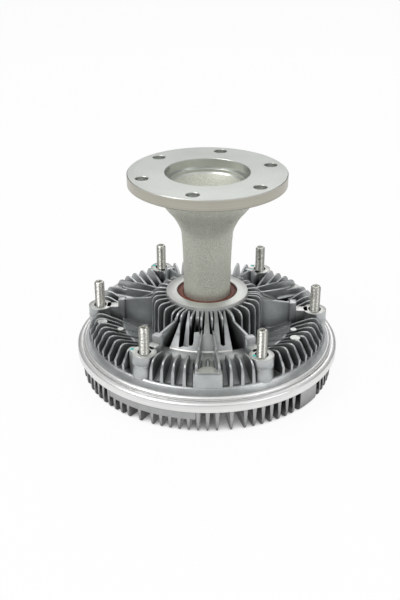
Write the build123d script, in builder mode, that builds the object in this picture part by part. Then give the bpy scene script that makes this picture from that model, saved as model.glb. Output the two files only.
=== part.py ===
"""Viscous fan clutch: flanged input shaft, finned rear housing and front cover, rotor and valve.

Millimetres. The origin is on the shaft axis, in the plane of the front cover's fin tips.
+Z points from the front cover to the drive flange. Angles are in degrees from +X.
"""

from build123d import *
import math
import os

os.makedirs("parts", exist_ok=True)

# Fits and gaps
seat_clearance = 0.02
slide_clearance = 0.05
face_gap = 0.3
root_sink = 1.0

# Heights of the stack, from the fin tips upwards
cover_fin_depth = 23.4
cover_wall = 3.6
chamber_depth = 11.6
rear_wall = 4.0
tower_height = 41.0
shaft_height = 121.9

# Rim of the front cover, rolled over the flange of the rear housing
rim_radius = 130.0
band_height = 7.7
lip_width = 4.4
lip_rise = 1.5
chamber_radius = 114.0
rear_flange_radius = 126.6
rear_flange_lap = 0.4

# Front cover: fins, oil pan and the solid blocks in the fin ring
cover_fin_pitch = 4.0
cover_fin_root = 4.3
cover_fin_tip = 2.1
cover_fin_end = 125.3
cover_fin_inner = 66.0
pan_radius = 62.0
pan_depth = 11.2
pan_wall = 3.6
wide_gap_step = 40.0
wide_gap_angle = -80.0
block_angle = -40.0
block_span = 12.0
wall_block_start = -137.0
wall_block_end = -95.0
wall_block_depth = 9.0
wall_block_width = 14.0

# Rear housing: cone and floor between the fins, and the low wall that closes their inner ends
foot_radius = 118.3
web_foot = 88.0
web_radius = 84.5
web_height = 8.6
web_end = 64.0

# Rear housing: outer fins, whose crest rises to a brow and comes down in an S
rear_fin_places = 69
rear_fin_thickness = 3.0
rear_fin_height = 20.0
rear_fin_foot = 117.4
rear_fin_step = 7.9
rear_fin_waist = 113.7
rear_fin_waist_drop = 6.6
rear_fin_brow = 109.5
rear_fin_knee = 104.5
rear_fin_end = 63.0
box_fin_height = 21.2
box_fin_inner_height = 19.0
box_fin_knee = 108.5
box_fin_shoulder = 115.2
box_fin_shoulder_drop = 4.2

# Rear housing: the three reservoir boxes with their plateaus and skirts
sector_count = 3
sector_angle = -90.0
plateau_height = 14.3
plateau_radius = 97.0
box_fin_inner = 93.0
skirt_radius = 79.0
skirt_drop = 0.6
skirt_left_root = 12.5
skirt_left_flare = 16.2
skirt_right_root = 10.8
skirt_right_flare = 9.1
groove_circle = 50.0
groove_pivot = 57.0
groove_lean = 0.21
groove_root_width = 5.6
groove_tip_width = 3.2
groove_floor = 6.0
long_groove_reach = 70.0
short_groove_reach = 60.0
box_width = 25.2
box_radius = 117.4
box_slope = 0.8
column_rib_thickness = 2.0
column_rib_start = 58.0
column_rib_height = 24.2
column_rib_rise = 1.5
column_rib_brow = 110.0
column_rib_end = 115.5
pocket_side = -9.4
pocket_width = 6.3
pocket_start = 47.0
pocket_reach = 59.0
pocket_depth = 18.0

# Rear housing: bearing tower and the comb of fins round it
tower_radius = 40.3
ring_height = 3.4
comb_places = 33
comb_offset = 4.8
comb_radius = 54.5
comb_corner = 5.0
comb_thickness = 2.4

# Fan studs, their bosses and the spoke ribs
stud_size = 10.0
stud_count = 6
stud_circle = 214.2
stud_angle = -2.7
stud_protrusion = 25.4
stud_engagement = 13.0
stud_screw_size = 9.8
countersink_radius = 6.3
socket_flats = 5.0
socket_depth = 6.0
boss_radius = 10.3
boss_height = 21.7
pad_strip_width = 9.6
pilot_radius = 88.5
node_depth = 6.5
node_width = 9.0
node_height = 8.0
spoke_thickness = 3.0
spoke_rise = 0.8
spoke_drop = 1.2

# Input shaft
flange_radius = 75.3
flange_thickness = 11.0
bolt_circle = 126.5
bolt_count = 6
bolt_hole = 12.0
bolt_angle = 17.8
pilot_bore_radius = 39.8
pilot_bore_depth = 9.5
dish_depth = 17.0
dish_floor_radius = 14.0
neck_radius = 22.9
neck_drop = 72.0
waist_radius = 26.4
waist_drop = 43.5
throat_radius = 38.4
throat_drop = 24.6
shoulder_radius = 49.5

# Bearing and seal, in one bore of the tower
bore_radius = 29.55
bearing_width = 30.0
bearing_race = 25.0
bearing_recess = 8.5
seal_height = 5.0
seal_recess = 1.4

# Rotor with its land, key, washer and nut
rotor_radius = 112.0
rotor_gap = 1.0
hub_radius = 24.0
rotor_web = 5.5
shaft_end_radius = 11.0
key_width = 5.0
key_depth = 4.0
nut_flats = 32.0
nut_height = 3.0

# Reservoir, separator plate and valve
plate_radius = 69.0
plate_thickness = 1.5
port_width = 5.0
port_length = 7.0
port_circle = 42.0
leaf_width = 9.0
leaf_thickness = 0.6
leaf_margin = 6.0
leaf_root = 30.0
pin_radius = 2.5
strip_length = 64.0
strip_width = 16.0
strip_thickness = 1.2
strip_drop = 4.2
bracket_thickness = 1.5
bracket_foot = 9.0
bracket_lap = 3.0

# Levels that follow from the stack
chamber_floor = cover_fin_depth + cover_wall
chamber_ceiling = chamber_floor + chamber_depth
valley_floor = chamber_ceiling + rear_wall
tower_top = valley_floor + tower_height
flange_top = tower_top + shaft_height
band_top = cover_fin_depth + band_height
rear_flange_top = band_top + rear_flange_lap
lip_top = rear_flange_top + lip_rise
lip_radius = rim_radius - lip_width
fin_root = chamber_ceiling + root_sink
fin_top = valley_floor + rear_fin_height
plateau = valley_floor + plateau_height
pad_level = valley_floor + boss_height
bearing_top = tower_top - bearing_recess
bearing_bottom = bearing_top - bearing_width
seal_top = tower_top - seal_recess
ring_bottom = tower_top - ring_height
rotor_top = chamber_ceiling - rotor_gap
rotor_underside = rotor_top - rotor_web
shaft_bottom = rotor_underside - nut_height
pan_floor = pan_depth + pan_wall
fin_step = 360 / rear_fin_places
comb_step = 360 / comb_places
in_tower = tower_radius - root_sink


def radial_plane(angle):
    """The upright plane through the shaft axis at an angle, with its x along the radius."""
    cosine = math.cos(math.radians(angle))
    sine = math.sin(math.radians(angle))
    return Plane(origin=(0, 0, 0), x_dir=(cosine, sine, 0), z_dir=(sine, -cosine, 0))


def revolved(outline, start=0.0, span=360.0):
    """The solid that an outline of (radius, height) points sweeps about the shaft axis."""
    with BuildPart() as turned:
        with BuildSketch(radial_plane(start)):
            Polygon(*outline, align=None)
        revolve(axis=Axis.Z, revolution_arc=span)
    return turned.part


def radial_wall(outline, thickness):
    """A wall along +X with an outline of (radius, height) points."""
    with BuildPart() as wall:
        with BuildSketch(Plane.XZ):
            Polygon(*outline, align=None)
        extrude(amount=thickness / 2, both=True)
    return wall.part


def turned_by(angles):
    """Places at the origin, each turned about the shaft axis by one of the angles."""
    return [Location((0, 0, 0), (0, 0, angle)) for angle in angles]


# Where the fins stand, counted in places from each reservoir box
sector_angles = [sector_angle + 360 / sector_count * turn for turn in range(sector_count)]
stud_angles = [stud_angle + 360 / stud_count * turn for turn in range(stud_count)]
boss_clear_angle = math.degrees(math.asin((boss_radius - rear_fin_thickness) / (stud_circle / 2)))


def from_nearest(angle, others):
    """The smallest turn between an angle and any of the others."""
    return min(abs((angle - other + 180) % 360 - 180) for other in others)


fin_angles = [sector_angle + fin_step * place for place in range(rear_fin_places)]
free_angles = [
    angle
    for angle in fin_angles
    if from_nearest(angle, sector_angles) > 1.5 * fin_step
    and from_nearest(angle, stud_angles) > boss_clear_angle
]
half_sector = 180 / stud_count
box_fin_angles = [angle for angle in free_angles if from_nearest(angle, sector_angles[:1]) < half_sector]
plain_fin_angles = [angle for angle in free_angles if angle not in box_fin_angles]

# Input shaft: drive flange, flared neck, journal, rotor seat and threaded end
flange_bottom = flange_top - flange_thickness
pilot_floor = flange_top - pilot_bore_depth
journal_radius = bearing_race - slide_clearance
with BuildPart() as input_shaft:
    with BuildSketch(Plane.XZ):
        Polygon(
            (0, shaft_bottom),
            (shaft_end_radius, shaft_bottom),
            (shaft_end_radius, bearing_bottom),
            (journal_radius, bearing_bottom),
            (journal_radius, bearing_top),
            (neck_radius, bearing_top),
            (neck_radius, flange_bottom - neck_drop),
            (waist_radius, flange_bottom - waist_drop),
            (throat_radius, flange_bottom - throat_drop),
            (shoulder_radius, flange_bottom),
            (flange_radius, flange_bottom),
            (flange_radius, flange_top),
            (pilot_bore_radius, flange_top),
            (pilot_bore_radius, pilot_floor),
            (dish_floor_radius, pilot_floor - dish_depth),
            (0, pilot_floor - dish_depth),
            align=None,
        )
    revolve(axis=Axis.Z)
    with Locations((0, 0, flange_top)):
        with PolarLocations(bolt_circle / 2, bolt_count, start_angle=bolt_angle):
            Hole(bolt_hole / 2, flange_thickness)
    with BuildSketch(Plane.XY.offset(rotor_underside)):
        with Locations((shaft_end_radius, 0)):
            Rectangle(key_depth + 2 * seat_clearance, key_width + 2 * seat_clearance)
    extrude(amount=bearing_bottom - rotor_underside, mode=Mode.SUBTRACT)
input_shaft.part.label = "input_shaft"
export_step(input_shaft.part, "parts/input_shaft.step")

# Rear housing: cone, floor and bearing tower as one turned blank
rear_body = revolved(
    [
        (chamber_radius, chamber_floor),
        (rear_flange_radius, chamber_floor),
        (rear_flange_radius, rear_flange_top),
        (lip_radius - face_gap, rear_flange_top),
        (foot_radius, valley_floor),
        (web_foot, valley_floor),
        (web_radius, valley_floor + web_height),
        (web_end, valley_floor),
        (tower_radius, valley_floor),
        (tower_radius, tower_top),
        (bore_radius + seat_clearance, tower_top),
        (bore_radius + seat_clearance, chamber_ceiling),
        (chamber_radius, chamber_ceiling),
    ]
)

plain_fin = radial_wall(
    [
        (rear_fin_end, fin_root),
        (rear_fin_end, valley_floor),
        (rear_fin_knee, fin_top),
        (rear_fin_brow, fin_top),
        (rear_fin_waist, fin_top - rear_fin_waist_drop),
        (rear_fin_foot, valley_floor + rear_fin_step),
        (rear_fin_foot, fin_root),
    ],
    rear_fin_thickness,
)
box_fin_top = valley_floor + box_fin_height
box_fin = radial_wall(
    [
        (box_fin_inner, fin_root),
        (box_fin_inner, valley_floor + box_fin_inner_height),
        (box_fin_knee, box_fin_top),
        (box_fin_shoulder, box_fin_top - box_fin_shoulder_drop),
        (rear_fin_foot, valley_floor),
        (rear_fin_foot, fin_root),
    ],
    rear_fin_thickness,
)
comb_fin = radial_wall(
    [
        (in_tower, fin_root),
        (in_tower, ring_bottom),
        (comb_radius - comb_corner, ring_bottom),
        (comb_radius, ring_bottom - comb_corner),
        (comb_radius, fin_root),
    ],
    comb_thickness,
)
comb_angles = [sector_angle + comb_offset + comb_step * place for place in range(comb_places)]
comb_angles = [angle for angle in comb_angles if from_nearest(angle, stud_angles) > comb_step / 4]

# What stands round a reservoir box, with the box along +X. The first box has a plateau from
# stud to stud, and the others only between their two column ribs.
plateau_outline = [
    (skirt_radius, fin_root),
    (skirt_radius, plateau),
    (plateau_radius, plateau),
    (plateau_radius, fin_root),
]
wide_plateau = revolved(plateau_outline, start=stud_angle - half_sector, span=2 * half_sector)
narrow_plateau = revolved(plateau_outline, start=-fin_step, span=2 * fin_step)
with BuildPart() as reservoir_box:
    with BuildSketch(Plane.XZ):
        Polygon(
            (plateau_radius - root_sink, fin_root),
            (plateau_radius - root_sink, plateau),
            (box_radius - box_slope, plateau - box_slope),
            (box_radius, valley_floor),
            (box_radius, fin_root),
            align=None,
        )
    extrude(amount=box_width / 2, both=True)

# The skirt is a cone from the ring to the plateau, trimmed to the flare of its two sides
skirt_top = ring_bottom - skirt_drop
skirt_edge = skirt_radius + root_sink
skirt_cone = revolved(
    [
        (in_tower, fin_root),
        (in_tower, skirt_top),
        (tower_radius, skirt_top),
        (skirt_radius, plateau),
        (skirt_edge, plateau - root_sink),
        (skirt_edge, fin_root),
    ],
    start=-half_sector - comb_step,
    span=2 * (half_sector + comb_step),
)


def skirt_side(root, flare, along):
    """How far a side of the skirt stands off the box's middle line at a distance along it."""
    return root + along * math.tan(math.radians(flare))


groove_bottom = valley_floor + groove_floor


def skirt_groove(reach):
    """The room round a comb fin's end, along +X from the groove's pivot."""
    with BuildPart() as groove:
        with BuildSketch(Plane.XY.offset(groove_bottom)):
            Polygon(
                (-groove_pivot / 2, groove_root_width / 2),
                (-groove_pivot / 2, -groove_root_width / 2),
                (reach - groove_pivot, -groove_tip_width / 2),
                (reach - groove_pivot, groove_tip_width / 2),
                align=None,
            )
            with Locations((reach - groove_pivot, 0)):
                Circle(groove_tip_width / 2)
        extrude(amount=tower_top - groove_bottom)
    return groove.part


def groove_places(steps):
    """Where grooves lie, on the comb fins some steps away from the first one."""
    offsets = [comb_offset + comb_step * step for step in steps]
    return [
        Location(
            (groove_pivot, groove_circle * math.sin(math.radians(offset)), 0),
            (0, 0, groove_lean * offset),
        )
        for offset in offsets
    ]


long_groove = skirt_groove(long_groove_reach)
short_groove = skirt_groove(short_groove_reach)
with BuildPart() as skirt:
    add(skirt_cone)
    with BuildSketch(Plane.XY.offset(fin_root)):
        Polygon(
            (0, -skirt_left_root),
            (skirt_edge, -skirt_side(skirt_left_root, skirt_left_flare, skirt_edge)),
            (skirt_edge, skirt_side(skirt_right_root, skirt_right_flare, skirt_edge)),
            (0, skirt_right_root),
            align=None,
        )
    extrude(amount=tower_top - fin_root, mode=Mode.INTERSECT)
    with Locations(*groove_places((-3, -2, 1))):
        add(long_groove, mode=Mode.SUBTRACT)
    with Locations(*groove_places((-1, 0))):
        add(short_groove, mode=Mode.SUBTRACT)
    with BuildSketch(Plane.XY.offset(ring_bottom - pocket_depth)):
        with Locations(((pocket_start + pocket_reach) / 2, pocket_side)):
            Rectangle(pocket_reach - pocket_start, pocket_width)
    extrude(amount=pocket_depth, mode=Mode.SUBTRACT)
    with BuildSketch(Plane.XY.offset(ring_bottom - pocket_depth)):
        with Locations(((tower_radius + pocket_start) / 2, pocket_side)):
            Rectangle(pocket_start - tower_radius, pocket_width)
    extrude(amount=pocket_depth)

# Two column ribs run from the skirt to the box, with a step down where the fan's ring begins
column_rib_top = valley_floor + column_rib_height
column_rib = radial_wall(
    [
        (column_rib_start, fin_root),
        (column_rib_start, column_rib_top + column_rib_rise),
        (pilot_radius, column_rib_top),
        (pilot_radius, box_fin_top),
        (column_rib_brow, box_fin_top),
        (column_rib_end, plateau - box_slope - root_sink),
        (column_rib_end, fin_root),
    ],
    column_rib_thickness,
)
column_angles = [angle + side * fin_step for angle in sector_angles for side in (-1, 1)]

# One sixth: a boss with its pad strip, node and spoke rib, with the stud along +X
stud_radius = stud_circle / 2
node_inside = pilot_radius - node_depth
with BuildPart() as boss:
    with BuildSketch(Plane.XY.offset(fin_root)):
        with Locations((stud_radius, 0)):
            Circle(boss_radius)
        with Locations(((pilot_radius + stud_radius) / 2, 0)):
            Rectangle(stud_radius - pilot_radius, pad_strip_width)
    extrude(amount=pad_level - fin_root)
    with BuildSketch(Plane.XY.offset(fin_root)):
        with Locations((pilot_radius - node_depth / 2, 0)):
            Rectangle(node_depth, node_width)
    extrude(amount=pad_level + node_height - fin_root)
    with BuildSketch(Plane.XZ):
        Polygon(
            (in_tower, fin_root),
            (in_tower, ring_bottom),
            (comb_radius - comb_corner, ring_bottom),
            (comb_radius, pad_level + node_height + spoke_rise),
            (node_inside + root_sink, pad_level + node_height - spoke_drop),
            (node_inside + root_sink, fin_root),
            align=None,
        )
    extrude(amount=spoke_thickness / 2, both=True)

with BuildPart() as rear_housing:
    add(rear_body)
    with Locations(*turned_by(sector_angles)):
        add(skirt.part)
        add(reservoir_box.part)
    with Locations(*turned_by(sector_angles[:1])):
        add(wide_plateau)
    with Locations(*turned_by(sector_angles[1:])):
        add(narrow_plateau)
    with Locations(*turned_by(column_angles)):
        add(column_rib)
    with Locations(*turned_by(plain_fin_angles)):
        add(plain_fin)
    with Locations(*turned_by(box_fin_angles)):
        add(box_fin)
    with Locations(*turned_by(comb_angles)):
        add(comb_fin)
    with Locations(*turned_by(stud_angles)):
        add(boss.part)
    with Locations((0, 0, pad_level)):
        with PolarLocations(stud_radius, stud_count, start_angle=stud_angle):
            CounterSinkHole(stud_screw_size / 2 + seat_clearance, countersink_radius, stud_engagement, 90)
rear_housing.part.label = "rear_housing"
export_step(rear_housing.part, "parts/rear_housing.step")

# Front cover: turned shell with its rolled lip, oil pan and pin boss
reservoir_radius = pan_radius - pan_wall
cover_shell = revolved(
    [
        (0, pan_depth),
        (pan_radius, pan_depth),
        (pan_radius, cover_fin_depth),
        (rim_radius, cover_fin_depth),
        (rim_radius, rear_flange_top),
        (lip_radius, lip_top),
        (lip_radius, rear_flange_top),
        (rear_flange_radius + slide_clearance, rear_flange_top),
        (rear_flange_radius + slide_clearance, chamber_floor),
        (reservoir_radius, chamber_floor),
        (reservoir_radius, pan_floor),
        (0, pan_floor),
    ]
)
cover_fin_top = cover_fin_depth + cover_wall / 2
cover_fin_flare = (cover_fin_root - cover_fin_tip) * cover_fin_top / cover_fin_depth
with BuildPart() as cover_fin:
    with BuildSketch(Plane.YZ.offset(cover_fin_inner)):
        with Locations((0, cover_fin_top)):
            Trapezoid(
                cover_fin_tip + cover_fin_flare,
                cover_fin_top,
                math.degrees(math.atan2(cover_fin_top, cover_fin_flare / 2)),
                align=(Align.CENTER, Align.MIN),
                rotation=180,
            )
    extrude(amount=cover_fin_end - cover_fin_inner)
# Each wide gap takes the place of two fins, with one fin in its middle
cover_fin_angles = []
for gap in range(round(360 / wide_gap_step)):
    gap_angle = wide_gap_angle + wide_gap_step * gap
    cover_fin_angles.append(gap_angle)
    for place in range(round(wide_gap_step / cover_fin_pitch) - 2):
        cover_fin_angles.append(gap_angle + cover_fin_pitch * (place + 1.5))
block_half = block_span / 2
cover_fin_angles = [a for a in cover_fin_angles if from_nearest(a, [block_angle]) > block_half]
fin_block = revolved(
    [
        (cover_fin_inner, 0),
        (cover_fin_inner, cover_fin_top),
        (cover_fin_end, cover_fin_top),
        (cover_fin_end, 0),
    ],
    start=block_angle - block_half,
    span=block_span,
)
wall_block = revolved(
    [
        (cover_fin_end - wall_block_width, cover_fin_depth - wall_block_depth),
        (cover_fin_end, cover_fin_depth - wall_block_depth),
        (cover_fin_end, cover_fin_top),
        (cover_fin_end - wall_block_width, cover_fin_top),
    ],
    start=wall_block_start,
    span=wall_block_end - wall_block_start,
)
with BuildPart() as front_cover:
    add(cover_shell)
    with Locations(*turned_by(cover_fin_angles)):
        add(cover_fin.part)
    add(fin_block)
    add(wall_block)
    with BuildSketch(Plane.XY):
        Circle(pin_radius + slide_clearance)
    extrude(amount=chamber_floor, mode=Mode.SUBTRACT)
front_cover.part.label = "front_cover"
export_step(front_cover.part, "parts/front_cover.step")

# Fan studs, whose thinner end is screwed into the bosses by the hexagon socket in the tip
stud_foot = pad_level - stud_engagement
for number, angle in enumerate(stud_angles, start=1):
    stud_plane = Plane(radial_plane(angle).location * Location((stud_radius, stud_foot, 0), (-90, 0, 0)))
    with BuildPart() as fan_stud:
        with BuildSketch(stud_plane):
            Circle(stud_screw_size / 2)
        extrude(amount=stud_engagement)
        with BuildSketch(stud_plane.offset(stud_engagement)):
            Circle(stud_size / 2)
        extrude(amount=stud_protrusion)
        with BuildSketch(stud_plane.offset(stud_engagement + stud_protrusion)):
            RegularPolygon(socket_flats / 2, 6, major_radius=False)
        extrude(amount=-socket_depth, mode=Mode.SUBTRACT)
    fan_stud.part.label = f"fan_stud_{number}"
    export_step(fan_stud.part, f"parts/fan_stud_{number}.step")

# Shaft seal in the mouth of the tower
with BuildPart() as shaft_seal:
    with BuildSketch(Plane.XY.offset(seal_top - seal_height)):
        Circle(bore_radius)
        Circle(neck_radius + slide_clearance, mode=Mode.SUBTRACT)
    extrude(amount=seal_height)
shaft_seal.part.label = "shaft_seal"
export_step(shaft_seal.part, "parts/shaft_seal.step")

# Bearing between the shaft and the tower
with BuildPart() as bearing_outer_ring:
    with BuildSketch(Plane.XY.offset(bearing_bottom)):
        Circle(bore_radius)
        Circle(bearing_race, mode=Mode.SUBTRACT)
    extrude(amount=bearing_width)
bearing_outer_ring.part.label = "bearing_outer_ring"
export_step(bearing_outer_ring.part, "parts/bearing_outer_ring.step")

# Rotor on the shaft, with its key and nut
with BuildPart() as rotor:
    add(
        revolved(
            [
                (shaft_end_radius + seat_clearance, rotor_underside),
                (rotor_radius, rotor_underside),
                (rotor_radius, rotor_top),
                (hub_radius, rotor_top),
                (hub_radius, bearing_bottom),
                (shaft_end_radius + seat_clearance, bearing_bottom),
            ]
        )
    )
    with BuildSketch(Plane.XY.offset(rotor_underside)):
        with Locations((shaft_end_radius, 0)):
            Rectangle(key_depth + 2 * seat_clearance, key_width + 2 * seat_clearance)
    extrude(amount=bearing_bottom - rotor_underside, mode=Mode.SUBTRACT)
rotor.part.label = "rotor"
export_step(rotor.part, "parts/rotor.step")

with BuildPart() as rotor_key:
    with BuildSketch(Plane.XY.offset(rotor_underside)):
        with Locations((shaft_end_radius, 0)):
            Rectangle(key_depth, key_width)
    extrude(amount=bearing_bottom - rotor_underside)
rotor_key.part.label = "rotor_key"
export_step(rotor_key.part, "parts/rotor_key.step")

with BuildPart() as rotor_nut:
    with BuildSketch(Plane.XY.offset(shaft_bottom)):
        RegularPolygon(nut_flats / 2, 6, major_radius=False)
        Circle(shaft_end_radius + seat_clearance, mode=Mode.SUBTRACT)
    extrude(amount=nut_height)
rotor_nut.part.label = "rotor_nut"
export_step(rotor_nut.part, "parts/rotor_nut.step")

# Separator plate with its oil port, and the leaf that shuts the port
with BuildPart() as separator_plate:
    with BuildSketch(Plane.XY.offset(chamber_floor)):
        Circle(plate_radius)
        with Locations((port_circle, 0)):
            Rectangle(port_width, port_length, mode=Mode.SUBTRACT)
    extrude(amount=plate_thickness)
separator_plate.part.label = "separator_plate"
export_step(separator_plate.part, "parts/separator_plate.step")

leaf_bottom = chamber_floor - leaf_thickness
with BuildPart() as valve_leaf:
    with BuildSketch(Plane.XY.offset(leaf_bottom)):
        with Locations(((port_circle + leaf_margin - leaf_root) / 2, 0)):
            Rectangle(port_circle + leaf_margin + leaf_root, leaf_width)
    extrude(amount=leaf_thickness)
    chamfer(valve_leaf.edges().filter_by(Axis.Z).sort_by(Axis.X)[-2:], leaf_width / 4)
valve_leaf.part.label = "valve_leaf"
export_step(valve_leaf.part, "parts/valve_leaf.step")

# Control pin through the cover, and the bimetal strip that holds it in
strip_top = pan_depth - strip_drop
strip_bottom = strip_top - strip_thickness
with BuildPart() as control_pin:
    with BuildSketch(Plane.XY.offset(strip_top)):
        Circle(pin_radius)
    extrude(amount=leaf_bottom - strip_top)
control_pin.part.label = "control_pin"
export_step(control_pin.part, "parts/control_pin.step")

with BuildPart() as bimetal_strip:
    with BuildSketch(Plane.XY.offset(strip_bottom)):
        Rectangle(strip_length, strip_width)
    extrude(amount=strip_thickness)
bimetal_strip.part.label = "bimetal_strip"
export_step(bimetal_strip.part, "parts/bimetal_strip.step")

# Brackets that fold down from the pan and under the ends of the strip
strip_end = strip_length / 2
web_inside = strip_end + face_gap
web_outside = web_inside + bracket_thickness
for side, name in ((1, "strip_bracket_right"), (-1, "strip_bracket_left")):
    outline = [
        (web_inside, pan_depth),
        (web_outside + bracket_foot, pan_depth),
        (web_outside + bracket_foot, pan_depth - bracket_thickness),
        (web_outside, pan_depth - bracket_thickness),
        (web_outside, strip_bottom - bracket_thickness),
        (strip_end - bracket_lap, strip_bottom - bracket_thickness),
        (strip_end - bracket_lap, strip_bottom),
        (web_inside, strip_bottom),
    ]
    with BuildPart() as strip_bracket:
        with BuildSketch(Plane.XZ):
            Polygon(*[(side * across, height) for across, height in outline], align=None)
        extrude(amount=strip_width / 2, both=True)
    strip_bracket.part.label = name
    export_step(strip_bracket.part, f"parts/{name}.step")
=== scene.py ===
"""Looks of the viscous fan clutch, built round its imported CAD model.

Lengths below are in millimetres, angles in degrees from +X, and the origin is the CAD one:
on the shaft axis, in the plane of the front cover's fin tips, with +Z towards the flange.
"""

import bpy
import bmesh
import math
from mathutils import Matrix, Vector


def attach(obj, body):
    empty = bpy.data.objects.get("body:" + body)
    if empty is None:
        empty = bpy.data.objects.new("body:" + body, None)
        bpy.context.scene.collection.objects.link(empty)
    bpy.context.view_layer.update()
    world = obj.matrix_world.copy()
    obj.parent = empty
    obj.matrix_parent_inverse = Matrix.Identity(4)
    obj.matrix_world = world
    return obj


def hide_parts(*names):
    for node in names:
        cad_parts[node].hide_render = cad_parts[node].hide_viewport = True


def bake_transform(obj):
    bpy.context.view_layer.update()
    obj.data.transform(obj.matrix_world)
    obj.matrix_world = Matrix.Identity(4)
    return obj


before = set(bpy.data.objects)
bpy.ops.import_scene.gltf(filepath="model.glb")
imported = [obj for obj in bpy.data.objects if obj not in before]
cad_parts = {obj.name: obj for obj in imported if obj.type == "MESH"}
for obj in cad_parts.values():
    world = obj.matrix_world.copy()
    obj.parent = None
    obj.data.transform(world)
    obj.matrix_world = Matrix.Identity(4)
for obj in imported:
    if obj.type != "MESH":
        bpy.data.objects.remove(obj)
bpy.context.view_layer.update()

MM = 0.001
TURN = 2 * math.pi

# Main sizes, the same as in the CAD model
FLOOR = 42.6
FIN_STEP = 360 / 69
SECTORS = [-90.0, 30.0, 150.0]
STUDS = [-2.7 + 60.0 * n for n in range(6)]
STUD_R = 107.1
PAD = 64.3
PLATEAU = 56.9
TOWER_TOP = 83.5
FLANGE_TOP = 205.5


def nearest(angle, others):
    """The smallest turn between an angle and any of the others."""
    return min(abs((angle - other + 180) % 360 - 180) for other in others)


def polar(radius, angle, height):
    """A point in metres from its radius, angle and height."""
    a = math.radians(angle)
    return (radius * math.cos(a) * MM, radius * math.sin(a) * MM, height * MM)


def scaled(x, y, z):
    """A point in metres from one in millimetres."""
    return (x * MM, y * MM, z * MM)


# Mesh building
def join_rings(bm, a, b, profile, material):
    """Faces between two rings of one closed profile.

    A third number in a profile's point is the material of the stretch that starts there.
    """
    size = len(profile)
    for j in range(size):
        k = (j + 1) % size
        face = bm.faces.new((a[j], b[j], b[k], a[k]))
        face.material_index = profile[j][2] if len(profile[j]) > 2 else material


def lathe(bm, profile, steps, material=0, start=0.0, span=360.0):
    """Turns a closed profile of (radius, height) points about the axis and caps a part turn's ends."""
    full = span >= 360.0
    count = steps if full else steps + 1
    rings = []
    for i in range(count):
        angle = start + span * i / steps
        rings.append([bm.verts.new(polar(p[0], angle, p[1])) for p in profile])
    for i in range(steps):
        join_rings(bm, rings[i], rings[(i + 1) % count], profile, material)
    if not full:
        for ring, order in ((rings[0], 1), (rings[-1], -1)):
            bm.faces.new(ring[::order]).material_index = material


def round_off(bm, edges, size, segments):
    """Rounds edges of the mesh."""
    bmesh.ops.bevel(
        bm,
        geom=edges,
        offset=size * MM,
        offset_type="OFFSET",
        segments=segments,
        profile=0.5,
        affect="EDGES",
        clamp_overlap=True,
        material=0,
    )


def plate(bm, outline, angle, top, bottom, heights, bevel, root, segments=3):
    """An upright radial wall, top thick at the upper height and bottom thick at the lower.

    The outline's points are (radius, height). Edges whose two ends are both in root stay sharp.
    """
    low, high = heights
    a = math.radians(angle)
    cosine = math.cos(a)
    sine = math.sin(a)

    def place(radius, side, height):
        share = (height - low) / (high - low)
        half = (bottom + (top - bottom) * share) / 2 * side
        return scaled(radius * cosine - half * sine, radius * sine + half * cosine, height)

    left = [bm.verts.new(place(r, 1, z)) for r, z in outline]
    right = [bm.verts.new(place(r, -1, z)) for r, z in outline]
    bm.faces.new(left)
    bm.faces.new(right[::-1])
    size = len(outline)
    edges = []
    for j in range(size):
        k = (j + 1) % size
        bm.faces.new((left[k], left[j], right[j], right[k]))
        if not (j in root and k in root):
            edges.append(bm.edges.get((left[j], left[k])))
            edges.append(bm.edges.get((right[j], right[k])))
    round_off(bm, edges, bevel, segments)


def root_fillet(bm, inner, outer, half, height, size, angle):
    """Concave strips along both sides of a wall's foot, closed and sunk a little into wall and floor."""
    steps = 4
    a = math.radians(angle)
    cosine = math.cos(a)
    sine = math.sin(a)
    for side in (1, -1):
        rows = []
        for radius in (inner, outer):
            row = []
            for i in range(steps + 1):
                t = math.pi / 2 * i / steps
                off = (half - 0.05 + size * (1 - math.cos(t))) * side
                z = height + size * (1 - math.sin(t))
                row.append((radius * cosine - off * sine, radius * sine + off * cosine, z))
            off = (half - 0.3) * side
            row.append((radius * cosine - off * sine, radius * sine + off * cosine, height - 0.2))
            rows.append([bm.verts.new(scaled(*point)) for point in row])
        near, far = rows
        count = len(near)
        for j in range(count):
            k = (j + 1) % count
            bm.faces.new((near[j], near[k], far[k], far[j]))
        bm.faces.new(near)
        bm.faces.new(far[::-1])


def prism(bm, plan, low, high, grow, bevel, top_material=0):
    """An upright prism over a plan of (x, y) points, its foot grown outwards, its top edge rounded."""
    cx = sum(x for x, y in plan) / len(plan)
    cy = sum(y for x, y in plan) / len(plan)
    base = []
    crown = []
    for x, y in plan:
        length = math.hypot(x - cx, y - cy)
        k = 1 + grow / length
        base.append(bm.verts.new(scaled(cx + (x - cx) * k, cy + (y - cy) * k, low)))
        crown.append(bm.verts.new(scaled(x, y, high)))
    bm.faces.new(crown).material_index = top_material
    bm.faces.new(base[::-1])
    size = len(plan)
    edges = []
    for j in range(size):
        k = (j + 1) % size
        bm.faces.new((base[j], base[k], crown[k], crown[j]))
        edges.append(bm.edges.get((crown[j], crown[k])))
    round_off(bm, edges, bevel, 3)


def turned_plan(points, angle):
    """Plan points turned about the axis."""
    a = math.radians(angle)
    return [(x * math.cos(a) - y * math.sin(a), x * math.sin(a) + y * math.cos(a)) for x, y in points]


def spun(bm, x, y, profile, steps, material=0):
    """A closed profile of (radius, height) points turned about an upright axis at x, y."""
    rings = []
    for i in range(steps):
        t = TURN * i / steps
        cosine = math.cos(t)
        sine = math.sin(t)
        rings.append([bm.verts.new(scaled(x + p[0] * cosine, y + p[0] * sine, p[1])) for p in profile])
    for i in range(steps):
        join_rings(bm, rings[i], rings[(i + 1) % steps], profile, material)


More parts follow.
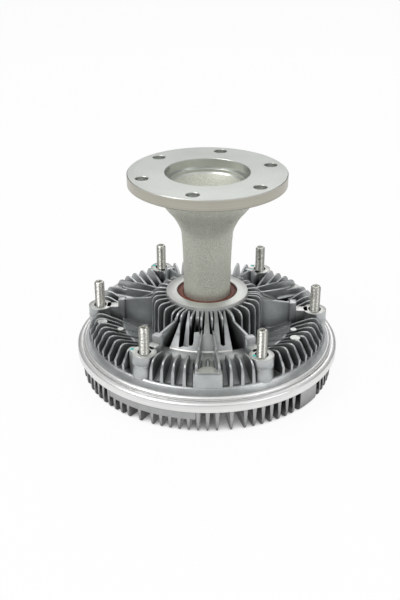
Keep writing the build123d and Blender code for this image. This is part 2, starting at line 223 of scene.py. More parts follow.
def piece(bm, name, body, materials, crease=34.0, nodes=()):
    """Makes an object of a finished mesh and hangs it on its body, if it rides on one only."""
    bmesh.ops.recalc_face_normals(bm, faces=bm.faces)
    mesh = bpy.data.meshes.new(name)
    bm.to_mesh(mesh)
    bm.free()
    for material in materials:
        mesh.materials.append(material)
    mesh.polygons.foreach_set("use_smooth", [True] * len(mesh.polygons))
    mesh.set_sharp_from_angle(angle=math.radians(crease))
    made = bpy.data.objects.new(name, mesh)
    bpy.context.scene.collection.objects.link(made)
    if body:
        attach(made, body)
    if nodes:
        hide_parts(*nodes)
    return made


# Materials
class Nodes:
    """Builds one material's nodes by short calls."""

    def __init__(self, name):
        self.material = bpy.data.materials.new(name)
        self.material.use_nodes = True
        self.tree = self.material.node_tree
        self.shader = self.tree.nodes["Principled BSDF"]
        self.coordinates = self.add("ShaderNodeTexCoord").outputs["Object"]

    def add(self, kind, **values):
        node = self.tree.nodes.new(kind)
        for key, value in values.items():
            if key in node.inputs:
                node.inputs[key].default_value = value
            else:
                setattr(node, key, value)
        return node

    def link(self, source, target):
        self.tree.links.new(source, target)

    def noise(self, scale, detail=4.0, rough=0.6, vector=None):
        node = self.add("ShaderNodeTexNoise", Scale=scale, Detail=detail, Roughness=rough)
        self.link(vector or self.coordinates, node.inputs["Vector"])
        return node.outputs["Fac"]

    def ramp(self, source, stops):
        node = self.add("ShaderNodeValToRGB")
        ramp = node.color_ramp
        while len(ramp.elements) < len(stops):
            ramp.elements.new(0.5)
        for element, (place, colour) in zip(ramp.elements, stops):
            element.position = place
            element.color = (*colour, 1.0)
        self.link(source, node.inputs["Fac"])
        return node.outputs["Color"]

    def spread(self, source, low, high):
        node = self.add("ShaderNodeMapRange")
        node.inputs["To Min"].default_value = low
        node.inputs["To Max"].default_value = high
        self.link(source, node.inputs["Value"])
        return node.outputs["Result"]

    def multiply(self, first, second, share=1.0):
        node = self.add("ShaderNodeMix", data_type="RGBA", blend_type="MULTIPLY")
        node.inputs["Factor"].default_value = share
        self.link(first, node.inputs[6])
        self.link(second, node.inputs[7])
        return node.outputs[2]

    def radius_and_height(self):
        """The distance from the shaft axis and the height, in metres."""
        apart = self.add("ShaderNodeSeparateXYZ")
        self.link(self.coordinates, apart.inputs["Vector"])
        flat = self.add("ShaderNodeCombineXYZ")
        self.link(apart.outputs["X"], flat.inputs["X"])
        self.link(apart.outputs["Y"], flat.inputs["Y"])
        length = self.add("ShaderNodeVectorMath", operation="LENGTH")
        self.link(flat.outputs["Vector"], length.inputs[0])
        return length.outputs["Value"], apart.outputs["Z"]

    def rings(self, scale):
        """Noise that depends only on the radius and the height, as turning marks do."""
        radius, height = self.radius_and_height()
        join = self.add("ShaderNodeCombineXYZ")
        self.link(radius, join.inputs["X"])
        self.link(height, join.inputs["Y"])
        return self.noise(scale, detail=3.0, rough=0.7, vector=join.outputs["Vector"])

    def bump(self, source, depth, strength, under=None):
        node = self.add("ShaderNodeBump", Strength=strength, Distance=depth)
        self.link(source, node.inputs["Height"])
        if under is not None:
            self.link(under, node.inputs["Normal"])
        return node.outputs["Normal"]

    def finish(self, colour, rough, normal, metallic=1.0):
        self.link(colour, self.shader.inputs["Base Color"])
        self.link(rough, self.shader.inputs["Roughness"])
        self.link(normal, self.shader.inputs["Normal"])
        self.shader.inputs["Metallic"].default_value = metallic
        return self.material


def cast_metal(name, dark, light, round_edges, deep=0.14, reach=0.014):
    """Die-cast aluminium: cloudy tone, fine grain, a slight skin texture and painted shade in hollows.

    The painted shade darkens a hollow's colour down to the share deep, going by what stands within reach, in
    metres.
    """
    n = Nodes(name)
    cloud = n.noise(55.0, detail=5.0)
    grain = n.noise(900.0, detail=3.0)
    tone = n.ramp(cloud, [(0.3, dark), (0.7, light)])
    fleck = n.ramp(grain, [(0.25, (0.86, 0.86, 0.86)), (0.6, (1.0, 1.0, 1.0))])
    # Painted shade: ambient occlusion darkens the colour in hollows and between fins
    painted_shade_occlusion = n.add("ShaderNodeAmbientOcclusion", Distance=reach, samples=6)
    shade = n.ramp(painted_shade_occlusion.outputs["AO"], [(0.12, (deep, deep, deep)), (0.9, (1.0, 1.0, 1.0))])
    soft = n.add("ShaderNodeBevel", Radius=round_edges * MM, samples=4)
    normal = n.bump(cloud, 0.0012, 0.2, soft.outputs["Normal"])
    normal = n.bump(grain, 0.0002, 0.4, normal)
    colour = n.multiply(n.multiply(tone, fleck, 0.8), shade)
    return n.finish(colour, n.spread(cloud, 0.28, 0.40), normal, 0.85)


def turned_metal(name, dark, light, rough, depth=0.00001):
    """Metal turned on a lathe, with fine circular marks."""
    n = Nodes(name)
    marks = n.rings(700.0)
    cloud = n.noise(30.0)
    tone = n.ramp(marks, [(0.3, dark), (0.7, light)])
    fleck = n.ramp(cloud, [(0.3, (0.93, 0.93, 0.93)), (0.7, (1.0, 1.0, 1.0))])
    normal = n.bump(marks, depth, 0.6)
    return n.finish(n.multiply(tone, fleck), n.spread(cloud, *rough), normal)


def blasted_metal(name, dark, light, rough):
    """Steel blasted with shot: fine even speckle."""
    n = Nodes(name)
    speckle = n.noise(1500.0, detail=2.0)
    cloud = n.noise(38.0)
    tone = n.ramp(speckle, [(0.32, dark), (0.68, light)])
    veil = n.ramp(cloud, [(0.3, (0.92, 0.92, 0.91)), (0.7, (1.0, 1.0, 1.0))])
    normal = n.bump(speckle, 0.0003, 0.5)
    return n.finish(n.multiply(tone, veil), n.spread(cloud, *rough), normal, 0.7)


def plain(name, dark, light, rough, metallic):
    """A cloudy finish for rubber, plastic and small metal pieces."""
    n = Nodes(name)
    cloud = n.noise(300.0)
    tone = n.ramp(cloud, [(0.3, dark), (0.7, light)])
    return n.finish(tone, n.spread(cloud, *rough), n.bump(cloud, 0.0002, 0.4), metallic)


# Both castings carry painted shade in their hollows; the cover's is deeper and reaches further
CAST = cast_metal("cast_aluminium", (0.44, 0.46, 0.465), (0.62, 0.64, 0.64), 0.7)
COVER_CAST = cast_metal("cover_casting", (0.50, 0.51, 0.51), (0.62, 0.63, 0.62), 0.6, deep=0.03, reach=0.03)
BRIGHT = turned_metal("turned_aluminium", (0.86, 0.86, 0.85), (0.95, 0.95, 0.94), (0.34, 0.42))
FACED = turned_metal("faced_aluminium", (0.68, 0.69, 0.67), (0.78, 0.79, 0.76), (0.42, 0.52))
STEEL = turned_metal("turned_steel", (0.60, 0.62, 0.59), (0.66, 0.68, 0.65), (0.28, 0.36), depth=0.000004)
EDGE_STEEL = turned_metal("flange_edge_steel", (0.40, 0.385, 0.33), (0.56, 0.54, 0.47), (0.26, 0.36))
BLASTED = blasted_metal("blasted_steel", (0.42, 0.43, 0.375), (0.82, 0.83, 0.74), (0.52, 0.62))
ZINC = plain("zinc_plate", (0.55, 0.55, 0.51), (0.74, 0.74, 0.70), (0.22, 0.36), 1.0)
SEAL = plain("seal_rubber", (0.12, 0.030, 0.018), (0.20, 0.055, 0.035), (0.45, 0.6), 0.0)
PAINT = plain("mark_paint", (0.02, 0.50, 0.46), (0.03, 0.58, 0.53), (0.35, 0.45), 0.0)
DARK_STEEL = plain("dark_steel", (0.30, 0.30, 0.31), (0.42, 0.42, 0.43), (0.3, 0.42), 1.0)
BIMETAL = plain("bimetal_strip_metal", (0.50, 0.40, 0.24), (0.62, 0.52, 0.34), (0.3, 0.4), 1.0)
PLASTIC = plain("moulded_plastic", (0.02, 0.02, 0.022), (0.035, 0.035, 0.038), (0.4, 0.5), 0.0)

# Input shaft, drilled with the flange's bolt holes
BOLT_CIRCLE_R = 63.25
FIRST_BOLT = 17.8
SHAFT_CREASE = 30.0
SHAFT = [
    (11.0, 29.6, 1), (11.0, 45.1, 1), (26.95, 45.1, 1), (26.95, 75.1, 1), (22.9, 75.1, 1),
    (22.9, 84.0, 1), (22.95, 96.0, 1), (23.2, 111.3, 1), (23.5, 122.0, 1), (24.0, 134.3, 1),
    (24.8, 145.0, 1), (25.8, 149.6, 1), (27.2, 152.9, 1), (29.5, 157.6, 1), (32.2, 162.2, 1),
    (35.2, 166.2, 1), (38.4, 169.9, 1), (41.6, 174.2, 1), (44.6, 179.4, 1), (47.2, 185.6, 1),
    (49.4, 192.3, 1), (50.6, 194.2), (52.0, 194.5), (74.7, 194.5), (75.3, 195.1, 2),
    (75.3, 204.9), (74.6, FLANGE_TOP), (40.4, FLANGE_TOP), (39.8, 204.9), (39.8, 196.2),
    (39.5, 196.0), (37.2, 196.0), (36.8, 195.6), (36.8, 192.8), (35.6, 191.2, 1),
    (30.0, 186.6, 1), (22.0, 181.6, 1), (14.0, 179.0, 1), (6.0, 178.6, 1), (0.4, 178.6, 1),
    (0.4, 29.6, 1),
]
BOLT_HOLE = [(0.02, 190.0), (6.0, 190.0), (6.0, 205.0), (7.2, 206.2), (0.02, 206.2)]
bm = bmesh.new()
lathe(bm, SHAFT, 192)
shaft = piece(bm, "shaft_body", "shaft", [STEEL, BLASTED, EDGE_STEEL], SHAFT_CREASE, ["input_shaft"])
bm = bmesh.new()
for n in range(6):
    x, y = turned_plan([(BOLT_CIRCLE_R, 0.0)], FIRST_BOLT + 60.0 * n)[0]
    spun(bm, x, y, BOLT_HOLE, 40)
bmesh.ops.recalc_face_normals(bm, faces=bm.faces)
cutter_mesh = bpy.data.meshes.new("bolt_hole_cutter")
bm.to_mesh(cutter_mesh)
bm.free()
cutter = bpy.data.objects.new("bolt_hole_cutter", cutter_mesh)
bpy.context.scene.collection.objects.link(cutter)
cut = shaft.modifiers.new("bolt_holes", "BOOLEAN")
cut.object = cutter
cut.operation = "DIFFERENCE"
cut.solver = "EXACT"
graph = bpy.context.evaluated_depsgraph_get()
drilled = bpy.data.meshes.new_from_object(shaft.evaluated_get(graph), depsgraph=graph)
shaft.modifiers.clear()
shaft.data = drilled
bpy.data.objects.remove(cutter)
drilled.set_sharp_from_angle(angle=math.radians(SHAFT_CREASE))

# Rear housing: turned body with its bead, cone, valley, web ring and tower
bm = bmesh.new()
lathe(
    bm,
    [
        (34.0, 75.1), (34.0, 41.0), (112.0, 41.0), (112.0, 31.0), (124.6, 31.0, 1), (124.6, 33.4, 1),
        (124.3, 34.4, 1), (123.7, 35.2, 1), (122.8, 35.8, 1), (122.0, 36.0, 1), (121.6, 35.9), (121.4, 36.5),
        (118.9, 40.9), (118.2, 41.9), (117.2, 42.5), (115.8, FLOOR), (88.2, FLOOR), (86.6, 43.4),
        (85.6, 45.6), (85.1, 49.4), (84.6, 50.8), (83.6, 51.1), (82.2, 50.6), (66.6, 43.6), (63.0, FLOOR),
        (46.0, FLOOR), (44.2, 43.2), (43.2, 44.4), (42.6, 46.4), (41.4, 62.0), (40.9, 78.6), (40.4, 80.2, 2),
        (40.3, 83.2, 2), (39.9, TOWER_TOP, 2), (30.1, TOWER_TOP, 2), (29.6, 83.0, 2), (29.6, 75.1, 2),
    ],
    steps=240,
)


def from_box(angle):
    """The nearest box's number and the turn from it."""
    turns = [(angle - s + 180) % 360 - 180 for s in SECTORS]
    number = min(range(3), key=lambda i: abs(turns[i]))
    return number, turns[number]


# Outer fins: beside the front box their crest is flat, elsewhere it comes down towards the tower
BOX_FIN = [
    (93.0, 42.0), (93.0, 60.4), (93.7, 61.7), (95.6, 62.3), (100.0, 63.0), (105.0, 63.7), (108.6, 63.8),
    (111.6, 63.0), (113.8, 61.4), (115.3, 59.0), (116.2, 55.6), (117.0, 50.6), (117.6, 44.0), (117.8, 42.0),
]
CREST = [
    (90.5, 56.0), (97.0, 59.0), (101.6, 61.4), (104.8, 62.6), (108.0, 62.8), (110.3, 61.7), (112.2, 58.8),
    (113.4, 55.3), (115.0, 52.7), (117.0, 50.7), (117.7, 49.3), (117.3, 45.6), (117.3, 41.4),
]
LONG_FIN = [(63.0, 41.4), (64.0, 42.9), (70.0, 45.8), (77.0, 49.7), (85.0, 53.2)] + CREST
SHORT_FIN = [(84.6, 41.4), (84.6, 50.6), (85.4, 52.4), (87.6, 54.2)] + CREST

# At the back the crest stands further out and nearly reaches the pads' level
FULL_CREST = [
    (90.5, 56.4), (97.0, 59.9), (102.4, 62.6), (106.4, 63.9), (109.4, 64.1), (111.8, 63.4), (113.5, 61.4),
    (114.6, 58.4), (115.5, 55.0), (116.5, 52.0), (117.6, 49.3), (117.3, 45.6), (117.3, 41.4),
]
for place in range(69):
    angle = -90.0 + FIN_STEP * place
    number, turn = from_box(angle)
    if abs(turn) < 1.5 * FIN_STEP or nearest(angle, STUDS) < 4.1:
        continue
    if number == 0 and abs(turn) < 30:
        plate(bm, BOX_FIN, angle, 2.1, 3.3, (42.0, 64.0), bevel=0.95, root={0, 13})
        root_fillet(bm, 97.0, 116.8, 1.65, FLOOR, 1.4, angle)
    else:
        outline = LONG_FIN if place % 2 else SHORT_FIN
        if math.sin(math.radians(angle)) > 0.3:
            outline = outline[: -len(CREST)] + FULL_CREST
        last = len(outline) - 1
        plate(bm, outline, angle, 2.0, 3.1, (42.0, 63.0), bevel=0.9, root={0, last - 1, last})
        root_fillet(bm, 88.0, 116.8, 1.6, FLOOR, 1.4, angle)

# Comb fins round the tower
COMB_STEP = 360 / 33
COMB_OFFSET = 4.8
COMB = [
    (40.0, 42.0), (40.0, 80.2), (48.6, 80.3), (50.8, 79.8), (52.6, 78.7), (53.9, 76.9), (54.5, 74.4),
    (54.8, 60.0), (55.2, 42.0),
]
for place in range(33):
    angle = SECTORS[0] + COMB_OFFSET + COMB_STEP * place
    if nearest(angle, STUDS) > COMB_STEP / 4:
        plate(bm, COMB, angle, 2.0, 2.8, (42.0, 80.3), bevel=0.75, root={0, 1, 8})

# Skirts: a cone from the ring to the plateau, flared at both sides, with grooves and one pocket.
# Places on one are (x, y) along and beside the middle line of its box.
TOWER_R = 41.0
SKIRT_INNER_R = 38.0
SKIRT_R = 78.4
SKIRT_TOP = 79.6
SKIRT_EDGE = 57.3
SKIRT_STEPS = 64
GROOVE_REACHES = {-3: 70.0, -2: 70.0, -1: 60.5, 0: 60.5, 1: 70.0}
GROOVES = [(COMB_OFFSET + COMB_STEP * place, reach) for place, reach in GROOVE_REACHES.items()]
GROOVE_FLOOR = 49.0
GROOVE_START = 28.5
GROOVE_END_R = 1.6
POCKET_Y = -9.4
POCKET_HALF = 3.15
POCKET_START = 47.0
POCKET_REACH = 59.0
POCKET_FLOOR = 61.0


def groove_middle(offset, x):
    """Where a groove's middle line passes x."""
    lean = math.tan(math.radians(0.21 * offset))
    return 50.0 * math.sin(math.radians(offset)) + lean * (x - 57.0)


def groove_half(reach, x):
    """Half the width of a groove that narrows on and on."""
    return (5.6 - 2.4 * (x - GROOVE_START) / (reach - GROOVE_START)) / 2


def groove_room(reach, x):
    """Half the width of a groove with its round end."""
    left = reach + GROOVE_END_R - x
    if left >= GROOVE_END_R:
        return groove_half(reach, x)
    if left <= 0:
        return 0.0
    return math.sqrt(max(0.0, GROOVE_END_R * GROOVE_END_R - (GROOVE_END_R - left) ** 2))


def skirt_height(x, y):
    """The skirt's height at a place, with soft sides to its grooves and pocket."""
    slope = (SKIRT_TOP - SKIRT_EDGE) * max(0.0, math.hypot(x, y) - TOWER_R) / (SKIRT_R - TOWER_R)
    height = SKIRT_TOP - slope
    depth = 0.0
    low = GROOVE_FLOOR
    for offset, reach in GROOVES:
        half = groove_room(reach, x)
        aside = abs(y - groove_middle(offset, x))
        if half and aside < half + 0.5:
            depth = max(depth, min(1.0, (half + 0.5 - aside) / 0.9))
    if not depth:
        low = POCKET_FLOOR
        gap = max(abs(y - POCKET_Y) - POCKET_HALF, POCKET_START - x, x - POCKET_REACH)
        if gap < 0.4:
            depth = min(1.0, (0.4 - gap) / 0.8)
    return height + (min(low, height) - height) * depth * depth * (3 - 2 * depth)


def skirt_columns(x):
    """Places across the skirt, close together along the sides of each groove and the pocket."""
    left = -(12.5 + 0.291 * x)
    right = 10.8 + 0.16 * x
    columns = [left, left + 0.6]
    for offset, reach in GROOVES:
        middle = groove_middle(offset, x)
        half = groove_half(reach, x)
        columns += [middle + half * k for k in (-0.5, 0.0, 0.5)]
        columns += [middle + side * (half + off) for side in (-1, 1) for off in (-0.45, -0.2, 0.0, 0.25, 0.5)]
    columns += [POCKET_Y + side * (POCKET_HALF + off) for side in (-1, 1) for off in (-0.4, -0.1, 0.2, 0.45)]
    columns += [POCKET_Y, -0.6, right - 4.0, right - 0.6, right]
    return columns


for sector in SECTORS:
    rows = []
    for i in range(SKIRT_STEPS + 1):
        x = SKIRT_INNER_R + (SKIRT_R - SKIRT_INNER_R) * i / SKIRT_STEPS
        row = []
        for y in sorted(skirt_columns(x)):
            # The rows bend more and more, up to the plateau's round edge
            reach = math.sqrt(max(1.0, SKIRT_R * SKIRT_R - y * y))
            along = SKIRT_INNER_R + (reach - SKIRT_INNER_R) * i / SKIRT_STEPS
            px, py = turned_plan([(along, y)], sector)[0]
            row.append(bm.verts.new(scaled(px, py, skirt_height(along, y))))
        rows.append(row)
    for near, far in zip(rows[:-1], rows[1:]):
        for j in range(len(near) - 1):
            bm.faces.new((near[j], far[j], far[j + 1], near[j + 1]))
    rim = [row[0] for row in rows] + rows[-1][1:] + [row[-1] for row in rows[-2::-1]]
    foot = [bm.verts.new((v.co.x, v.co.y, (FLOOR - 0.5) * MM)) for v in rim]
    for j in range(len(rim) - 1):
        bm.faces.new((rim[j], foot[j], foot[j + 1], rim[j + 1]))

# Plateaus with a raised edge strip in the brighter faced finish as a painted highlight, the boxes with their
# caps, and the column ribs
for number, sector in enumerate(SECTORS):
    start, span = (sector - 32.7, 60.0) if number == 0 else (sector - FIN_STEP, 2 * FIN_STEP)
    lathe(
        bm,
        [
            (77.6, 42.0), (77.6, 56.6), (92.0, PLATEAU), (94.8, 56.2), (98.0, 54.0), (110.8, 44.6),
            (114.4, 42.7), (114.4, 42.0),
        ],
        start=start,
        span=span,
        steps=60,
    )
    # Painted highlight: the raised strip round each plateau's edge is real, its brighter faced finish stands
    # in for a highlight
    edge_start, edge_span = (sector - 26.6, 43.6) if number == 0 else (start, span)
    lathe(
        bm,
        [(77.9, 56.0), (77.9, 57.7), (78.5, 57.9), (79.5, 57.2), (79.8, 56.8), (79.8, 56.0)],
        material=2,
        start=edge_start,
        span=edge_span,
        steps=60,
    )
    box_plan = [(90.0, -13.3), (116.0, -13.3), (116.9, -13.0), (117.3, -12.2), (117.5, -6.0), (117.5, 6.0)]
    box_plan += [(117.3, 12.2), (116.9, 13.0), (116.0, 13.3), (90.0, 13.3)]
    prism(bm, turned_plan(box_plan, sector), 42.0, 56.0, grow=0.4, bevel=0.8)
    cap_plan = [(104.6, -3.0), (107.0, -7.2), (114.6, -11.9), (116.2, -11.9), (116.2, 11.9), (114.6, 11.9)]
    cap_plan += [(107.0, 7.2), (104.6, 3.0)]
    prism(bm, turned_plan(cap_plan, sector), 50.0, 57.2, grow=0.2, bevel=0.5, top_material=2)
    plate(
        bm,
        [(92.0, 54.0), (92.0, 57.0), (93.0, 57.9), (103.6, 57.9), (105.0, 57.2), (105.0, 54.0)],
        sector,
        2.0,
        2.8,
        (56.0, 58.0),
        bevel=0.4,
        segments=2,
        root={0, 5},
    )
    column_rib = [
        (57.0, 56.0), (57.0, 68.5), (88.0, 66.9), (88.9, 66.5), (89.7, 64.6), (91.0, 64.2), (109.4, 63.9),
        (111.6, 63.1), (113.2, 61.6), (114.6, 58.6), (115.4, 55.0),
    ]
    for side in (-1, 1):
        angle = sector + side * FIN_STEP
        plate(bm, column_rib, angle, 1.8, 2.9, (56.0, 68.5), bevel=0.75, root={0, 10})
        root_fillet(bm, 79.6, 108.0, 1.35, PLATEAU - 0.1, 2.2, angle)

# Bosses with keyhole pads, countersinks and parting lines, then nodes and spoke ribs
for angle in STUDS:
    x, y = turned_plan([(STUD_R, 0.0)], angle)[0]
    boss = [
        (5.0, 58.0), (5.1, 62.6), (6.4, PAD, 2), (11.1, PAD, 2), (11.5, 64.0), (11.4, 55.2), (11.7, 54.8),
        (11.7, 54.3), (11.45, 53.9), (11.6, 43.6), (12.1, 42.5), (12.1, 41.0), (5.0, 41.0),
    ]
    spun(bm, x, y, boss, 48)
    strip = [(88.5, -4.8), (100.3, -4.8), (100.3, 4.8), (88.5, 4.8)]
    prism(bm, turned_plan(strip, angle), 42.0, PAD, grow=0.3, bevel=0.35, top_material=2)
    node = [(81.8, -3.6), (82.8, -4.5), (88.4, -4.5), (88.4, 4.5), (82.8, 4.5), (81.8, 3.6)]
    prism(bm, turned_plan(node, angle), 42.0, 72.3, grow=0.3, bevel=0.7)
    spoke = [
        (40.0, 42.0), (40.0, 80.2), (48.6, 80.3), (51.4, 79.6), (53.4, 77.8), (54.4, 75.2), (55.2, 73.6),
        (57.0, 73.1), (84.5, 71.3), (84.5, 42.0),
    ]
    plate(bm, spoke, angle, 2.3, 3.6, (42.0, 80.3), bevel=0.8, root={0, 1, 8, 9})
    root_fillet(bm, 59.0, 82.0, 1.75, FLOOR, 1.6, angle)

# Round ejector pads on pillars, between the fins of two plain thirds, as (radius, angle, size)
EJECTOR_PADS = ((105.5, -165.5, 4.7), (93.0, -153.6, 3.0), (93.0, -27.1, 3.0), (101.7, -35.4, 4.7))
for radius, angle, size in EJECTOR_PADS:
    x, y = turned_plan([(radius, 0.0)], angle)[0]
    pad = [
        (0.02, 42.0), (size * 0.62, 42.0), (size * 0.55, 59.8), (size, 60.8), (size, 61.6, 2),
        (0.02, 61.7, 2),
    ]
    spun(bm, x, y, pad, 32)

# Inspection dots of paint on four bosses, as (x, y, the stud's angle). Where a dot lies near the
# pad's edge, the boss has a lobe under it.
DOTS = ((-69.2, -85.4, -122.7), (42.4, -97.6, -62.7), (-56.9, 98.3, 117.3), (50.4, 97.5, 57.3))
DOT = [(0.02, 64.2, 3), (1.9, 64.2, 3), (1.8, 64.42, 3), (0.02, 64.46, 3)]
LOBE_R = 2.7
LOBE_STEPS = 5
LOBE_ROOT_R = 10.8
LOBE_INNER_R = 8.2
for x, y, stud in DOTS:
    cx, cy = turned_plan([(STUD_R, 0.0)], stud)[0]
    toward = math.atan2(y - cy, x - cx)
    reach = math.hypot(x - cx, y - cy)
    if reach > 9.0:
        lean = math.acos((LOBE_ROOT_R - LOBE_R) / reach)
        plan = []
        for k in range(LOBE_STEPS, -LOBE_STEPS - 1, -1):
            t = toward + lean * k / LOBE_STEPS
            plan.append((x + LOBE_R * math.cos(t), y + LOBE_R * math.sin(t)))
        inner = [(LOBE_INNER_R, turn) for turn in (-0.6, 0.0, 0.6)]
        for radius, turn in [(LOBE_ROOT_R, -lean)] + inner + [(LOBE_ROOT_R, lean)]:
            plan.append((cx + radius * math.cos(toward + turn), cy + radius * math.sin(toward + turn)))
        prism(bm, plan, 41.0, PAD + 0.02, grow=0.2, bevel=0.35, top_material=2)
    spun(bm, x, y, DOT, 20, material=3)
housing = piece(bm, "housing_casting", "housing", [CAST, BRIGHT, FACED, PAINT], 40.0, ["rear_housing"])

# Front cover, solid inside, with a wide gap round every eighth fin, a block and a lower wall
COVER_PITCH = 4.0
WIDE_GAP_STEP = 40.0
FIRST_WIDE_GAP = -80.0
BLOCK = -40.0
bm = bmesh.new()
lathe(
    bm,
    [
        (0.5, 11.2), (60.6, 11.2), (61.6, 11.6), (62.0, 12.6), (62.4, 21.0), (63.6, 22.6), (65.5, 22.9),
        (125.0, 22.9), (125.6, 23.3), (126.4, 23.4), (129.4, 23.5, 1), (130.0, 24.1, 1), (130.0, 30.9, 1),
        (129.7, 31.5, 1), (128.8, 32.2, 1), (127.6, 32.7, 1), (125.8, 33.1, 1), (125.3, 32.9, 1),
        (125.2, 31.6, 1), (112.0, 31.4), (112.0, 27.0), (0.5, 27.0),
    ],
    steps=240,
)
COVER_FIN = [
    (66.5, 24.0), (66.5, 5.0), (67.4, 2.0), (70.0, 0.5), (74.0, 0.0), (121.6, 0.0), (123.6, 0.5),
    (124.9, 1.8), (125.4, 3.8), (125.6, 8.0), (125.7, 24.0),
]
for n in range(9):
    gap = FIRST_WIDE_GAP + WIDE_GAP_STEP * n
    for angle in [gap] + [gap + COVER_PITCH * (k + 1.5) for k in range(8)]:
        if nearest(angle, [BLOCK]) >= 6.5:
            plate(bm, COVER_FIN, angle, 4.35, 1.9, (0.0, 23.0), bevel=0.6, root={0, 10}, segments=2)
block = [
    (66.5, 24.0), (66.5, 3.0), (69.5, 0.2), (121.6, 0.0), (123.9, 0.6), (125.3, 2.4), (125.7, 5.0),
    (125.7, 24.0),
]
lathe(bm, block, steps=16, start=BLOCK - 6.0, span=12.0)
wall = [(111.0, 24.0), (111.0, 13.2), (124.9, 12.8), (125.5, 13.4), (125.7, 14.2), (125.7, 24.0)]
lathe(bm, wall, steps=48, start=-137.0, span=42.0)
cover = piece(bm, "cover_casting", "housing", [COVER_CAST, BRIGHT], 40.0, ["front_cover"])

# Seal
bm = bmesh.new()
lathe(
    bm,
    [
        (22.98, 77.2), (29.5, 77.2), (29.5, 81.3), (29.2, 81.7), (28.7, 81.7), (28.4, 81.2), (27.6, 81.2),
        (27.2, 81.9), (24.6, 82.1), (23.6, 81.8), (22.98, 80.8),
    ],
    steps=96,
)
seal = piece(bm, "seal_ring", "housing", [SEAL], nodes=["shaft_seal"])

# Studs
STUD_STEPS = 36
STUD_FOOT = 52.0
STUD_TIP = 89.7
THREAD_R = 4.95
THREAD_DEPTH = 0.85
PITCH = 1.5


def hexagon(k, size):
    """The radius of a hexagon's side at a step round a stud."""
    t = (360 * k / STUD_STEPS) % 60 - 30
    return size / math.cos(math.radians(t))


def stud_mesh(bm, x, y, phase):
    """One fan stud with a rolled thread and a hexagon socket."""
    rows = []
    step = PITCH / 6
    count = int((STUD_TIP - 0.9 - STUD_FOOT) / step)
    for i in range(count + 1):
        z = STUD_FOOT + step * i
        row = []
        for k in range(STUD_STEPS):
            turn = (z / PITCH - k / STUD_STEPS + phase) % 1.0
            groove = max(0.0, 1.0 - abs(turn - 0.5) / 0.42) * THREAD_DEPTH
            row.append((min(THREAD_R - groove, 4.0 + (STUD_TIP - z) * 1.2), z))
        rows.append(row)
    rows.append([(3.9, STUD_TIP - 0.15)] * STUD_STEPS)
    rows.append([(3.7, STUD_TIP)] * STUD_STEPS)
    for size, depth in ((2.65, 0.0), (2.45, 0.3), (2.45, 5.0)):
        rows.append([(hexagon(k, size), STUD_TIP - depth) for k in range(STUD_STEPS)])
    made = []
    for row in rows:
        ring = []
        for k, (r, z) in enumerate(row):
            t = TURN * k / STUD_STEPS + phase
            ring.append(bm.verts.new(scaled(x + r * math.cos(t), y + r * math.sin(t), z)))
        made.append(ring)
    for a, b in zip(made[:-1], made[1:]):
        for k in range(STUD_STEPS):
            m = (k + 1) % STUD_STEPS
            bm.faces.new((a[k], a[m], b[m], b[k]))
    bm.faces.new(made[0][::-1])
    bm.faces.new(made[-1])


for number, angle in enumerate(STUDS, start=1):
    bm = bmesh.new()
    x, y = turned_plan([(STUD_R, 0.0)], angle)[0]
    stud_mesh(bm, x, y, 0.37 * number)
    made = piece(bm, f"threaded_stud_{number}", "housing", [ZINC], crease=50.0, nodes=[f"fan_stud_{number}"])

# Bimetal strip in two straight halves, each running from its bracket to the control pin
STRIP_END = 32.0
STRIP_SECTION = ((-8.0, 5.8), (8.0, 5.8), (8.0, 7.0), (-8.0, 7.0))
STRIP_STEPS = 20
for side, name, nodes in ((-1, "strip_half_left", ["bimetal_strip"]), (1, "strip_half_right", [])):
    bm = bmesh.new()
    rows = []
    for i in range(STRIP_STEPS + 1):
        x = side * STRIP_END * i / STRIP_STEPS
        rows.append([bm.verts.new(scaled(x, y, z)) for y, z in STRIP_SECTION])
    for near, far in zip(rows[:-1], rows[1:]):
        for k in range(4):
            m = (k + 1) % 4
            bm.faces.new((near[k], near[m], far[m], far[k]))
    bm.faces.new(rows[0])
    bm.faces.new(rows[-1][::-1])
    half = piece(bm, name, None, [BIMETAL], nodes=nodes)
    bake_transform(half)

# Nodes that keep their CAD mesh
KEPT = {
    "bearing_outer_ring": STEEL,
    "rotor": FACED,
    "rotor_key": DARK_STEEL,
    "rotor_nut": DARK_STEEL,
    "separator_plate": DARK_STEEL,
    "valve_leaf": DARK_STEEL,
    "strip_bracket_left": DARK_STEEL,
    "strip_bracket_right": DARK_STEEL,
    "control_pin": PLASTIC,
}
for name, material in KEPT.items():
    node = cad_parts[name]
    for place in node.material_slots:
        place.material = material

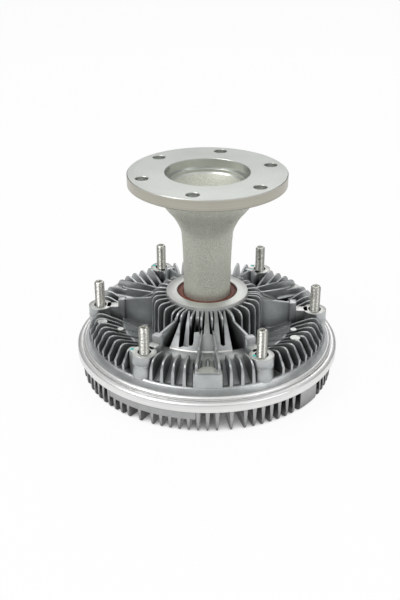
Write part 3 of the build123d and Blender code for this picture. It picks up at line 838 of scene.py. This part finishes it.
# Stage, light and camera
def stage_material(name, colour, share, mirrored):
    """Pale stage paper that shows the camera white, faded to a painted contact shadow near the object, and
    reflections part of it.
    """
    material = bpy.data.materials.new(name)
    material.use_nodes = True
    tree = material.node_tree
    tree.nodes.clear()
    out = tree.nodes.new("ShaderNodeOutputMaterial")
    mix = tree.nodes.new("ShaderNodeMixShader")
    paper = tree.nodes.new("ShaderNodeBsdfDiffuse")
    glow = tree.nodes.new("ShaderNodeEmission")
    path = tree.nodes.new("ShaderNodeLightPath")
    seen = tree.nodes.new("ShaderNodeMath")
    seen.operation = "MULTIPLY"
    # Painted shadow: ambient occlusion fades the camera's white glow near the object, over the paper's real
    # shade
    near = tree.nodes.new("ShaderNodeAmbientOcclusion")
    near.inputs["Distance"].default_value = 0.03
    near.samples = 8
    glow_with_painted_shadow = tree.nodes.new("ShaderNodeMapRange")
    glow_with_painted_shadow.inputs["From Min"].default_value = 0.04
    glow_with_painted_shadow.inputs["From Max"].default_value = 0.32
    glow_with_painted_shadow.inputs["To Max"].default_value = share
    tree.links.new(near.outputs["AO"], glow_with_painted_shadow.inputs["Value"])
    tree.links.new(glow_with_painted_shadow.outputs["Result"], seen.inputs[1])
    part = tree.nodes.new("ShaderNodeMath")
    part.operation = "MULTIPLY_ADD"
    part.inputs[1].default_value = mirrored
    paper.inputs["Color"].default_value = (*colour, 1.0)
    tree.links.new(path.outputs["Is Camera Ray"], seen.inputs[0])
    tree.links.new(path.outputs["Is Glossy Ray"], part.inputs[0])
    tree.links.new(seen.outputs[0], part.inputs[2])
    tree.links.new(part.outputs[0], mix.inputs["Fac"])
    tree.links.new(paper.outputs[0], mix.inputs[1])
    tree.links.new(glow.outputs[0], mix.inputs[2])
    tree.links.new(mix.outputs[0], out.inputs["Surface"])
    return material


floor_mesh = bpy.data.meshes.new("stage_floor")
floor_mesh.from_pydata([(-3, -3, 0), (3, -3, 0), (3, 3, 0), (-3, 3, 0)], [], [(0, 1, 2, 3)])
floor_mesh.materials.append(stage_material("stage_paper", (0.85, 0.85, 0.85), 0.94, 0.6))
floor = bpy.data.objects.new("stage_floor", floor_mesh)
floor.location.z = -0.0004
bpy.context.scene.collection.objects.link(floor)

world = bpy.data.worlds.new("studio")
bpy.context.scene.world = world
world.use_nodes = True
tree = world.node_tree
tree.nodes.clear()
out = tree.nodes.new("ShaderNodeOutputWorld")
room = tree.nodes.new("ShaderNodeBackground")
room.inputs["Color"].default_value = (1.0, 1.0, 1.0, 1.0)
path = tree.nodes.new("ShaderNodeLightPath")
height = tree.nodes.new("ShaderNodeSeparateXYZ")
level = tree.nodes.new("ShaderNodeMapRange")
level.inputs["To Min"].default_value = 0.10
level.inputs["To Max"].default_value = 0.85
white = tree.nodes.new("ShaderNodeMix")
white.inputs["B"].default_value = 1.0
tree.links.new(tree.nodes.new("ShaderNodeTexCoord").outputs["Generated"], height.inputs["Vector"])
tree.links.new(height.outputs["Z"], level.inputs["Value"])
tree.links.new(path.outputs["Is Camera Ray"], white.inputs["Factor"])
tree.links.new(level.outputs["Result"], white.inputs["A"])
tree.links.new(white.outputs["Result"], room.inputs["Strength"])
tree.links.new(room.outputs[0], out.inputs["Surface"])


def lamp(name, place, aim, size, power):
    """A soft square lamp aimed at a point."""
    data = bpy.data.lights.new(name, "AREA")
    data.size = size
    data.energy = power
    made = bpy.data.objects.new(name, data)
    bpy.context.scene.collection.objects.link(made)
    made.location = place
    made.rotation_euler = (Vector(aim) - Vector(place)).to_track_quat("-Z", "Y").to_euler()


lamp("key_lamp", (-1.1, -0.7, 1.6), (0.0, 0.0, 0.08), 1.1, 15.0)
lamp("fill_lamp", (1.2, -0.9, 1.0), (0.0, 0.0, 0.08), 0.9, 5.0)
lamp("back_lamp", (0.2, 1.3, 1.3), (0.0, 0.0, 0.1), 1.1, 5.0)

camera_data = bpy.data.cameras.new("camera")
camera_data.lens = 55.506
camera_data.sensor_width = 36.0
camera_data.clip_start = 0.01
camera = bpy.data.objects.new("camera", camera_data)
bpy.context.scene.collection.objects.link(camera)
camera.location = (-0.00697, -0.82239, 0.48744)
camera.rotation_euler = (math.radians(63.17), 0.0, 0.0)
bpy.context.scene.camera = camera
bpy.context.scene.view_settings.view_transform = "Standard"
